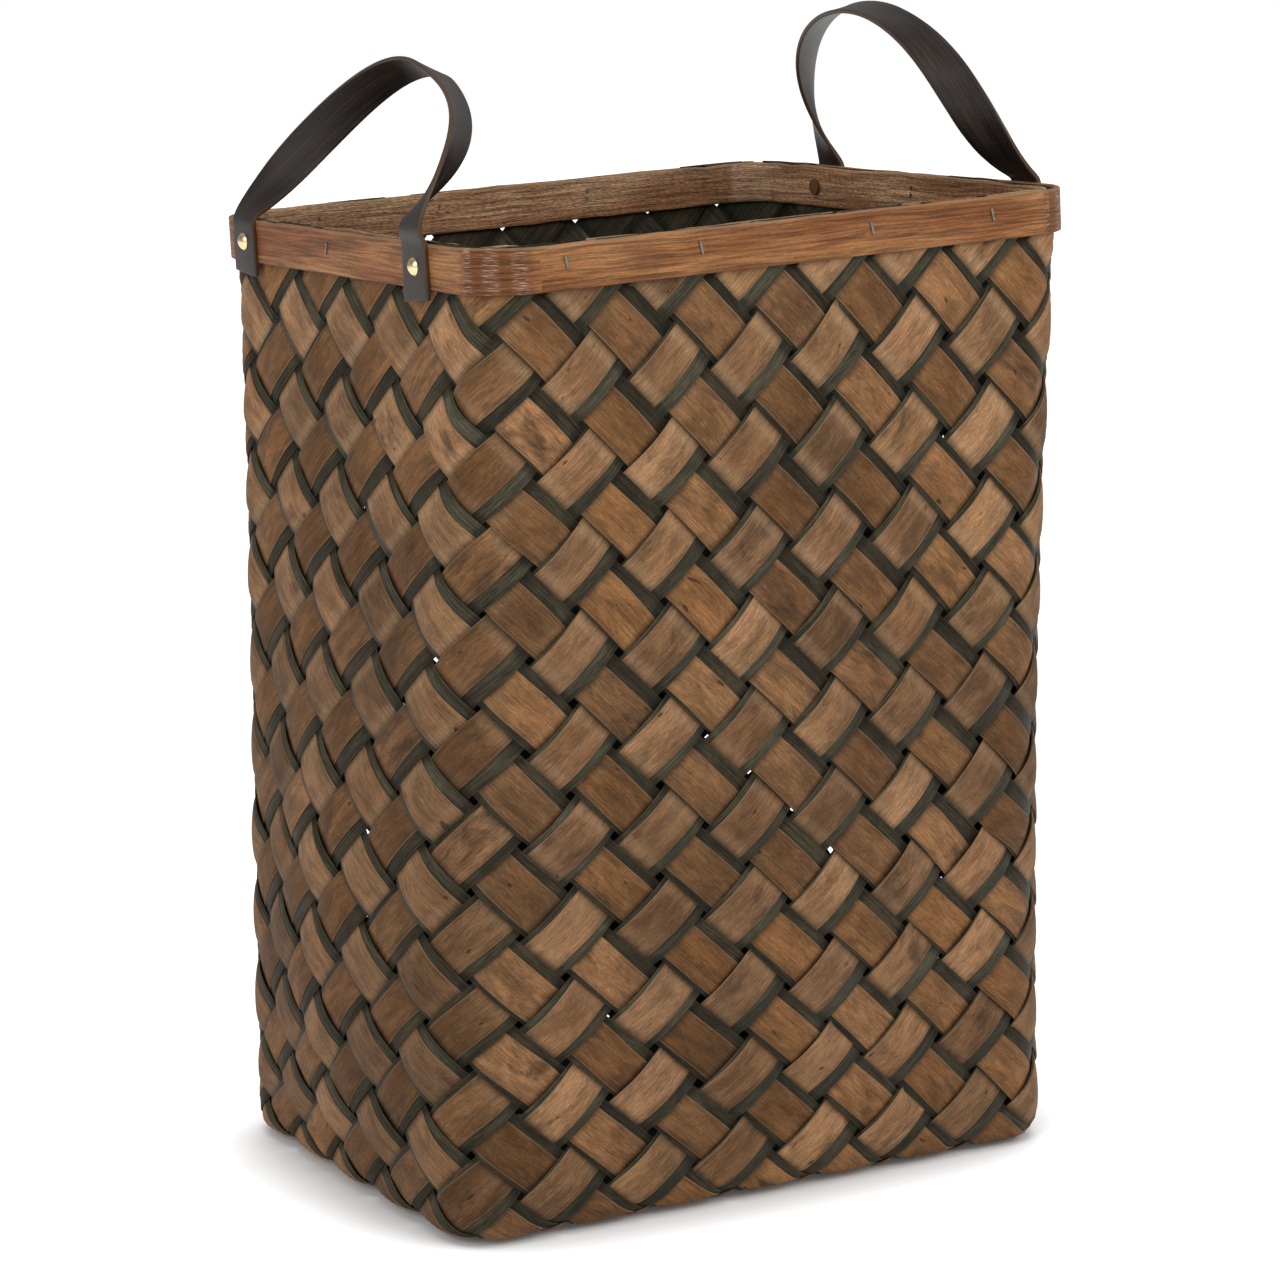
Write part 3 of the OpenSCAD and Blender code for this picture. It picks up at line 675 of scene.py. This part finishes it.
def hoop_finish(name, tone, rough_face):
    """Bent wood with wavy grain along the hoop, pores, and fine cracks where it bends, with painted highlight glints on
    them; a painted highlight along the top edge and painted shade along the lower edge.
    """
    m = Finish(name)
    length, width, _ = m.parts(m.along())
    bend = m.note("bend_share")
    wave = m.noise(m.point(length * 9, width * 1.4, 3.0), 1.0, 3, 0.5)
    fibre = m.noise(m.point(length * 26, width * 16 + wave * 5, 1.0), 1.0, 6, 0.70, 0.4)
    pore = m.noise(m.point(length * 330, width * 44, 2.0), 1.0, 3, 0.75)
    patch = m.noise(m.point(length * 11, width * 1.2 + wave, 5.0), 1.0, 3, 0.5)
    line = m.noise(m.point(length * 5, width * 30 + wave * 6, 7.0), 1.0, 3, 0.6)
    crack = m.noise(m.point(length * 105, width * 30, 4.0), 1.0, 3, 0.6)
    column = (length * (2 * math.pi / (13 * MM))).math("SINE").between(-0.8, 0.7)
    bent_tint = (1.15, 1.3, 1.45) if rough_face else (0.50, 0.40, 0.36)
    color = m.mix(patch.between(0.38, 0.64), m.tint(tone, (0.74, 0.66, 0.60)), m.tint(tone, (1.16, 1.30, 1.36)))
    color = m.mix(bend.between(0.05, 0.6) * 0.85, color, m.tint(tone, bent_tint))
    color = m.shade(color, fibre.between(0.38, 0.62, 1.24, 0.50))
    color = m.shade(color, line.between(0.40, 0.62, 1.10, 0.70 if rough_face else 0.86))
    color = m.shade(color, pore.between(0.32, 0.68, 0.45, 1.75) if rough_face else pore.between(0.30, 0.70, 0.78, 1.22))
    # pale glints on the cracks where the hoop bends: painted highlights
    painted_glint = (bend.between(0.1, 0.6) * column * crack.between(0.50, 0.58)).clamp()
    color = m.mix(painted_glint * (0.2 if rough_face else 0.5), color, (0.66, 0.52, 0.42))
    # lighter along the top edge: a painted highlight
    color = m.mix(width.between(0.93, 0.985) * 0.5, color, (0.44, 0.27, 0.15))
    # darker along the lower edge, where the hoop meets the weave: painted shade
    color = m.mix(width.between(0.0, 0.05, 1.0, 0.0) * 0.5, color, (0.07, 0.032, 0.016))
    height = fibre * 0.6 + pore * (0.5 if rough_face else 0.2) + crack * bend * 0.8
    rough = pore * 0.2 + (0.55 if rough_face else 0.40)
    return m.surface(Base_Color=color, Specular_IOR_Level=0.18, Roughness=rough,
                     Normal=m.bump(height, 0.9 if rough_face else 0.6, (0.9 if rough_face else 0.5) * MM))


def strap_finish():
    """Dark strap with fine lines along it and pale cut edges."""
    s = bpy.context.scene.basket_strap
    m = Finish("strap")
    length, width, _ = m.parts(m.along())
    line = m.noise(m.point(length * 6, width * 46, 0.0), 1.0, 4, 0.7)
    blotch = m.noise(m.point(length * 30, width * 2, 2.0), 1.0, 3, 0.55)
    pore = m.noise(m.point(length * 420, width * 46, 1.0), 1.0, 2, 0.6)
    edge = (width - 0.5).math("ABSOLUTE")
    color = m.shade(tuple(s.tone), blotch.between(0.35, 0.7, 0.8, 1.5))
    color = m.shade(color, line.between(0.36, 0.66, 0.55, 1.9))
    color = m.mix(edge.between(0.480, 0.495) * line.between(0.3, 0.6, 0.25, 0.8), color, s.edge_tone)
    return m.surface(Base_Color=color, Roughness=line * 0.30 + pore * 0.12 + 0.22,
                     Normal=m.bump(line * 0.7 + pore * 0.3, 0.7, 0.35 * MM), Specular_IOR_Level=0.26)


def metal_finish(name, tone, rough, dirt):
    """Metal with small dull spots."""
    m = Finish(name)
    place = m.place()
    spot = m.noise(place, 900.0, 3, 0.6)
    wear = m.noise(place, 260.0, 3, 0.6)
    color = m.mix(wear.between(0.45, 0.75) * 0.6, tone, dirt)
    return m.surface(Base_Color=color, Metallic=1.0, Roughness=spot * 0.2 + rough,
                     Normal=m.bump(spot, 0.25, 0.15 * MM))


# ---------------------------------------------------------------- rim

def hoop_outline(share, inset):
    """The rim's outline, moved in by inset, at shares of the way round: points, outward ways, bend and length."""
    w, d, r = SHAPE["rim_w"] - 2 * inset, SHAPE["rim_d"] - 2 * inset, SHAPE["rim_r"] - inset
    legs = np.array([w - 2 * r, r * math.pi / 2, d - 2 * r, r * math.pi / 2] * 2)
    ends = np.cumsum(legs)
    way = np.mod(share, 1) * ends[-1]
    leg = np.searchsorted(ends, way, side="right").clip(0, 7)
    on = way - np.concatenate([[0], ends])[leg]
    quarter = leg // 2
    a = quarter * math.pi / 2
    turn = np.where(leg % 2 == 1, on / r, 0)
    # in the frame of the front side: run along +x, the outside towards -y
    half_w = np.where(quarter % 2 == 0, w, d) / 2
    half_d = np.where(quarter % 2 == 0, d, w) / 2
    x = np.where(leg % 2 == 0, -half_w + r + on, half_w - r + r * np.sin(turn))
    y = np.where(leg % 2 == 0, -half_d, -half_d + r - r * np.cos(turn))
    nx, ny = np.sin(turn), -np.cos(turn)
    c, s = np.cos(a), np.sin(a)
    bend = np.where(leg % 2 == 1, np.sin(np.clip(turn * 2, 0, math.pi)), 0)
    flat, out = (np.stack([p * c - q * s, p * s + q * c], -1) for p, q in ((x, y), (nx, ny)))
    return flat, out, bend, ends[-1]


def on_rim(points):
    """Tilts points of the rim's own frame, in which z is 0 at the hoops' lower edge, into place."""
    a = SHAPE["tilt"]
    x, y, z = points.T
    return np.stack([x * math.cos(a) - z * math.sin(a), y, SHAPE["wall_h"] + x * math.sin(a) + z * math.cos(a)], -1)


def hoop_mesh(name, inset, rng, wave):
    """A hoop's middle surface; wave is how far its edges and face depart from plain."""
    mesh, grid = ribbon(name, 560, 10)
    mid = inset + SHAPE["hoop_t"] / 2
    flat, out, bend, length = hoop_outline(grid[:, 0], mid)
    ring = np.linspace(0, 1, 97)
    knots = rng.normal(0, 1, (3, 96))
    knots = np.concatenate([knots, knots[:, :1]], 1)
    bulge, top, low = (np.interp(grid[:, 0], ring, k) for k in knots)
    up = grid[:, 1]
    z = up * SHAPE["band_h"] + top * wave * up + low * wave * (1 - up) * 0.5
    face = out * (bulge * wave * 0.4 * (2 * up - 1))[:, None]
    set_places(mesh, on_rim(np.column_stack([flat + face, z])))
    scale_uv(mesh, length)
    note_values(mesh, "bend_share", bend)
    bm = bmesh.new()
    bm.from_mesh(mesh)
    bmesh.ops.remove_doubles(bm, verts=bm.verts, dist=1e-5)
    bm.to_mesh(mesh)
    bm.free()
    face = mesh.polygons[0]
    outward(mesh, Vector((0, -1, 0)).dot(face.normal) < 0)
    return mesh


class BASKET_OT_hoops(bpy.types.Operator):
    """Bends the outer and the inner wooden hoop round the rim"""
    bl_idname = "basket.hoops"
    bl_label = "Bend Hoops"

    def execute(self, context):
        s = context.scene.basket_rim
        rng = np.random.default_rng(SEED + 1)
        for name, inset, tone, rough, wave in (
            ("outer_hoop", 0.0, s.outer_tone, False, 0.20 * MM),
            ("inner_hoop", SHAPE["pack_t"] - SHAPE["hoop_t"], s.inner_tone, True, 0.35 * MM),
        ):
            mesh = hoop_mesh(name, inset, rng, wave)
            piece = finished(name, mesh, hoop_finish(name + "_wood", tuple(tone), rough), "basket",
                             thickness=SHAPE["hoop_t"] - 0.1 * MM, bevel=s.edge_round)
            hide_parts(name.replace("_hoop", "_rim_hoop"))
        return {"FINISHED"}


# ---------------------------------------------------------------- straps

# fold in millimetres; way is +1 for the handle whose outside faces +x; spacing of the two folds; lean and rise of the
# loop's top; twist of the face towards the top; points of the two leg curves as shares of (lean, half spacing, rise);
# turns is how early each leg twists
HANDLES = {
    "left": {
        "fold": (-165.994, 11.096, 470.653), "way": -1, "spacing": 183.96, "lean": 54, "rise": 71, "twist": 66,
        "points": [(0, -1, 0), (-0.25, -1, 0.19), (0.87, -1.06, 0.6), (1, -0.15, 1),
                   (1.07, 0.34, 1.216), (0.91, 1, 0.65), (0, 1, 0)],
        "turns": (1, 2.7),
    },
    "right": {
        "fold": (163.826, -11.096, 486.495), "way": 1, "spacing": 174.03, "lean": 50, "rise": 80, "twist": 80,
        "points": [(0, -1, 0), (0.63, -1, 0.23), (1.03, -1.14, 0.8), (1, -0.42, 1),
                   (0.98, 0.1, 1.145), (0.76, 1, 0.9), (0, 1, 0)],
        "turns": (1.9, 2.3),
    },
}
TAB_LENGTH = 28.0                     # from the fold to the strap's end below the rim, in millimetres


def leg_line(h, back, steps=60):
    """Centre, heading and face direction along one leg, from its fold to the top, with x inwards."""
    scale = np.array([h["lean"], h["spacing"] / 2, h["rise"]])
    p = np.array(h["points"]) * scale
    p = p[6:2:-1] if back else p[:4]
    t = np.linspace(0, 1, steps)[:, None]
    c = (1 - t) ** 3 * p[0] + 3 * t * (1 - t) ** 2 * p[1] + 3 * t * t * (1 - t) * p[2] + t ** 3 * p[3]
    v = (1 - t) ** 2 * (p[1] - p[0]) + 2 * t * (1 - t) * (p[2] - p[1]) + t * t * (p[3] - p[2])
    v /= np.linalg.norm(v, axis=1)[:, None]
    way = np.concatenate([[0], np.cumsum(np.linalg.norm(np.diff(c, axis=0), axis=1))])
    way /= way[-1]
    out = np.array([-1.0, 0, 0]) + v[:, :1] * v
    out /= np.linalg.norm(out, axis=1)[:, None]
    power = h["turns"][1 if back else 0]
    a = np.radians((1 if back else -1) * h["twist"] * (1 - (1 - way) ** power))[:, None]
    n = out * np.cos(a) + np.cross(v, out) * np.sin(a)
    return c, v, n


def tab_line(h, back, steps=14):
    """Centre line of a riveted end, from its cut end up to its fold, with x inwards."""
    y = (1 if back else -1) * h["spacing"] / 2
    a = -h["way"] * SHAPE["tilt"]
    down = np.linspace(TAB_LENGTH, 1.2, steps)
    c = np.stack([down * math.sin(a), np.full(steps, y), -down * math.cos(a)], -1)
    n = np.tile([-math.cos(a), 0, -math.sin(a)], (steps, 1))
    v = np.tile([-math.sin(a), 0, math.cos(a)], (steps, 1))
    return c, v, n


def strap_line(h):
    """The whole strap from its front end to its back end: centres, width directions and face directions."""
    pieces = []
    for back in (False, True):
        tab, leg = tab_line(h, back), leg_line(h, back)
        c, v, n = (np.concatenate([a, b]) for a, b in zip(tab, leg))
        w = np.cross(v, n) * (-1 if back else 1)
        if back:
            c, w, n = c[-2::-1], w[-2::-1], n[-2::-1]
        pieces.append((c, w, n))
    c, w, n = (np.concatenate([a, b]) for a, b in zip(*pieces))
    for _ in range(3):
        for field in (c, w, n):
            field[1:-1] = (field[:-2] + 2 * field[1:-1] + field[2:]) / 4
    w /= np.linalg.norm(w, axis=1)[:, None]
    n -= (n * w).sum(1)[:, None] * w
    n /= np.linalg.norm(n, axis=1)[:, None]
    return c, w, n


def strap_mesh(name, h, s):
    c, w, n = strap_line(h)
    way = np.concatenate([[0], np.cumsum(np.linalg.norm(np.diff(c, axis=0), axis=1))])
    mesh, grid = ribbon(name, 260, 12)
    at = grid[:, 0] * way[-1]
    c, w, n = (np.stack([np.interp(at, way, f[:, i]) for i in range(3)], -1) for f in (c, w, n))
    w /= np.linalg.norm(w, axis=1)[:, None]
    n /= np.linalg.norm(n, axis=1)[:, None]
    from_end = np.minimum(at, way[-1] - at)
    half = (s.loop_w + (s.tab_w - s.loop_w) * np.clip((45 - from_end) / 30, 0, 1)) / 2 / MM
    across = grid[:, 1] * 2 - 1
    # cut ends are slanted a little
    slant = np.where(from_end < 6, across * 1.1 * (1 - from_end / 6), 0)
    down = np.zeros_like(c)
    down[:, 2] = slant
    p = c + w * (half * across)[:, None] + n * (0.25 * (1 - across ** 2))[:, None] + down
    p[:, 0] *= -h["way"]
    set_places(mesh, (p + h["fold"]) * MM)
    scale_uv(mesh, way[-1] * MM)
    face = mesh.polygons[0]
    outward(mesh, Vector((h["way"], 0, 0)).dot(face.normal) < 0)
    return mesh


class BASKET_OT_straps(bpy.types.Operator):
    """Makes the two strap handles, each one strap from end to end"""
    bl_idname = "basket.straps"
    bl_label = "Make Strap Handles"

    def execute(self, context):
        s = context.scene.basket_strap
        material = strap_finish()
        for side, h in HANDLES.items():
            mesh = strap_mesh(side + "_strap", h, s)
            piece = finished(side + "_strap", mesh, material, None, thickness=s.strap_t, bevel=0.35 * MM)
            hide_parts(side + "_handle_loop", side + "_front_tab", side + "_back_tab")
            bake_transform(piece)
        return {"FINISHED"}


# ---------------------------------------------------------------- fittings

class BASKET_OT_fittings(bpy.types.Operator):
    """Gives the rivets, their caps and the staples their metal"""
    bl_idname = "basket.fittings"
    bl_label = "Finish Fittings"

    def execute(self, context):
        brass = metal_finish("brass", (0.78, 0.62, 0.36), 0.12, (0.30, 0.18, 0.07))
        old_brass = metal_finish("old_brass", (0.27, 0.155, 0.085), 0.60, (0.18, 0.10, 0.055))
        steel = metal_finish("staple_steel", (0.24, 0.21, 0.18), 0.40, (0.07, 0.05, 0.035))
        metals = {"rivet": brass, "cap": old_brass, "staple": steel, "staples": steel}
        for name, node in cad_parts.items():
            metal = metals.get(name.split("_")[-1])
            if metal:
                node.data.materials.clear()
                node.data.materials.append(metal)
        return {"FINISHED"}


# ---------------------------------------------------------------- stage

def soft_light(name, place, aim, size, power):
    data = bpy.data.lights.new(name, "AREA")
    data.shape, data.size, data.size_y, data.energy = "RECTANGLE", size[0], size[1], power
    lamp = bpy.data.objects.new(name, data)
    bpy.context.scene.collection.objects.link(lamp)
    lamp.location = place
    lamp.rotation_euler = (Vector(aim) - Vector(place)).to_track_quat("-Z", "Y").to_euler()


def photo_camera(lens):
    """Camera that sees the basket as the photo does."""
    az, el, roll, distance = math.radians(-30.4), math.radians(10.36), -0.0093, 1.939
    ahead = Vector((-math.sin(az) * math.cos(el), math.cos(az) * math.cos(el), -math.sin(el)))
    right = Vector((math.cos(az), math.sin(az), 0))
    up = right.cross(ahead)
    turned = right * math.cos(roll) + up * math.sin(roll)
    upward = up * math.cos(roll) - right * math.sin(roll)
    data = bpy.data.cameras.new("camera")
    data.lens, data.sensor_width, data.clip_end = lens, 36, 50
    camera = bpy.data.objects.new("camera", data)
    bpy.context.scene.collection.objects.link(camera)
    look_at = Vector((-0.0015, 0, 0.257))
    place = look_at - ahead * distance
    camera.matrix_world = Matrix.Translation(place) @ Matrix((turned, upward, -ahead)).transposed().to_4x4()
    bpy.context.scene.camera = camera


def white_floor():
    """White to the camera through an even glow added to its lit colour, darker where the basket shades it: the AO node
    darkens the glow near the basket into a painted contact shadow.
    """
    m = Finish("studio_floor")
    path = m.make("ShaderNodeLightPath")
    node = path.socket.node
    seen = (Value(m, node.outputs["Is Camera Ray"]) + Value(m, node.outputs["Is Glossy Ray"])).clamp()
    # the glow that whitens the floor for the camera is darkened by the AO node near the basket: a painted contact
    # shadow
    near = m.make("ShaderNodeAmbientOcclusion", {"samples": 16}, Distance=0.07, out="AO")
    glow_with_painted_shadow = m.mix(near.between(0.30, 0.97), (0.05, 0.05, 0.05), (0.86, 0.86, 0.86))
    plain = m.make("ShaderNodeBsdfDiffuse", {}, Color=(0.85, 0.85, 0.85))
    lit = m.make("ShaderNodeEmission", {}, Color=glow_with_painted_shadow, Strength=1.0)
    both = m.make("ShaderNodeAddShader", {}, plain, lit)
    m.make("ShaderNodeOutputMaterial", {}, Surface=m.make("ShaderNodeMixShader", {}, seen, plain, both))
    return m.material


class BASKET_OT_stage(bpy.types.Operator):
    """Sets the floor, the lights and the camera"""
    bl_idname = "basket.stage"
    bl_label = "Set Stage"

    def execute(self, context):
        s = context.scene.basket_stage
        photo_camera(s.lens)
        bm = bmesh.new()
        bmesh.ops.create_grid(bm, x_segments=1, y_segments=1, size=s.floor_reach)
        mesh = bpy.data.meshes.new("floor")
        bm.to_mesh(mesh)
        bm.free()
        floor = bpy.data.objects.new("floor", mesh)
        context.scene.collection.objects.link(floor)
        mesh.materials.append(white_floor())
        soft_light("main_light", (0.75, -1.45, 1.45), (0, 0, 0.3), (1.3, 1.0), s.key)
        soft_light("side_light", (-2.0, -0.9, 1.3), (0, 0, 0.25), (1.4, 1.4), s.fill)
        world = context.scene.world or bpy.data.worlds.new("World")
        context.scene.world = world
        world.use_nodes = True
        tree = world.node_tree
        tree.nodes.clear()
        path = tree.nodes.new("ShaderNodeLightPath")
        room = tree.nodes.new("ShaderNodeBackground")
        room.inputs["Strength"].default_value = s.ambient
        white = tree.nodes.new("ShaderNodeBackground")
        mix = tree.nodes.new("ShaderNodeMixShader")
        out = tree.nodes.new("ShaderNodeOutputWorld")
        room.inputs["Color"].default_value = white.inputs["Color"].default_value = (1, 1, 1, 1)
        tree.links.new(path.outputs["Is Camera Ray"], mix.inputs[0])
        tree.links.new(room.outputs[0], mix.inputs[1])
        tree.links.new(white.outputs[0], mix.inputs[2])
        tree.links.new(mix.outputs[0], out.inputs["Surface"])
        context.scene.view_settings.view_transform = "Standard"
        return {"FINISHED"}


class BASKET_PT_panel(bpy.types.Panel):
    bl_idname = "BASKET_PT_panel"
    bl_label = "Plaited Basket"
    bl_space_type = "VIEW_3D"
    bl_region_type = "UI"
    bl_category = "Basket"

    def draw(self, context):
        for group, operators in (
            ("basket_weave", ["basket.strips"]), ("basket_rim", ["basket.hoops"]),
            ("basket_strap", ["basket.straps"]), ("basket_stage", ["basket.fittings", "basket.stage"]),
        ):
            box = self.layout.box()
            settings = getattr(context.scene, group)
            for name in settings.__annotations__:
                box.prop(settings, name)
            for operator in operators:
                box.operator(operator)


CLASSES = (
    WeaveSettings, RimSettings, StrapSettings, StageSettings,
    BASKET_OT_strips, BASKET_OT_hoops, BASKET_OT_straps, BASKET_OT_fittings, BASKET_OT_stage, BASKET_PT_panel,
)
GROUPS = {
    "basket_weave": WeaveSettings, "basket_rim": RimSettings,
    "basket_strap": StrapSettings, "basket_stage": StageSettings,
}


def register():
    for c in CLASSES:
        bpy.utils.register_class(c)
    for name, group in GROUPS.items():
        setattr(bpy.types.Scene, name, PointerProperty(type=group))


def unregister():
    for name in GROUPS:
        delattr(bpy.types.Scene, name)
    for c in reversed(CLASSES):
        bpy.utils.unregister_class(c)


def main():
    register()
    bpy.ops.basket.stage()
    bpy.ops.basket.strips()
    bpy.ops.basket.hoops()
    bpy.ops.basket.straps()
    bpy.ops.basket.fittings()


if __name__ == "__main__":
    main()
